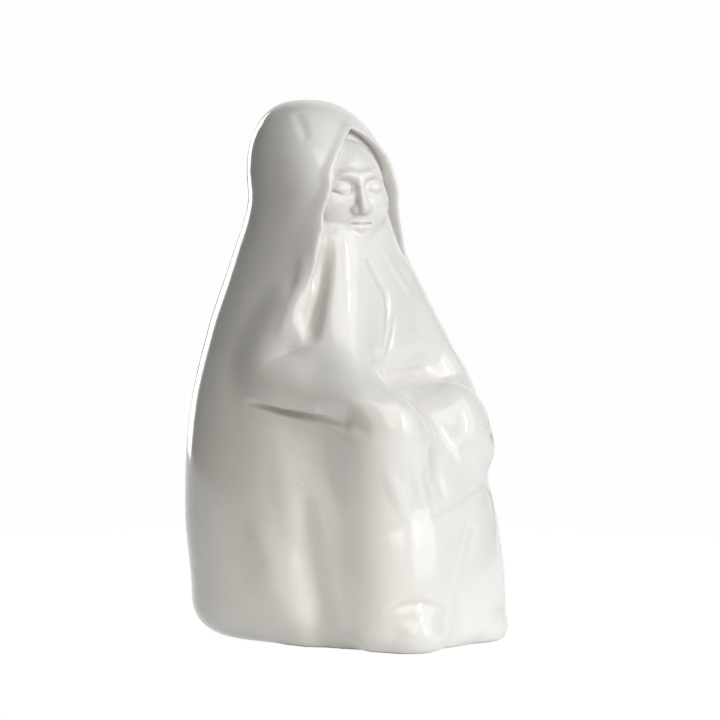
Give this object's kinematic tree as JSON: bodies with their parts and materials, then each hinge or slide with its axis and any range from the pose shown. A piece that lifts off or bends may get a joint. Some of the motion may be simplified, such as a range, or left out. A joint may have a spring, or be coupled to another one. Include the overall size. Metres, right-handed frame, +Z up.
{
  "type": "ceramic ghost figure",
  "caption": "Seated hooded ghost figure in white glazed ceramic: a draped robe under a long veil, sleeved arms with hands laid on the knees, and shoe tips under the hem.",
  "frame": {"origin": "on the surface the figure stands on, under the middle of its bounding box", "axes": "+Z up, the figure faces -Y, +X towards its left hand"},
  "size_m": [0.1171, 0.1395, 0.2398],
  "materials": {
    "white_glaze": "glossy ivory-white glaze",
    "bare_biscuit": "unglazed, wiped clean for firing"
  },
  "bodies": {
    "root": {"robe": "white_glaze", "base_slab": "bare_biscuit", "head": "white_glaze", "hood": "white_glaze", "right_sleeve": "white_glaze", "left_sleeve": "white_glaze", "right_hand": "white_glaze", "left_hand": "white_glaze", "right_shoe": "white_glaze", "left_shoe": "white_glaze"}
  },
  "joints": []
}
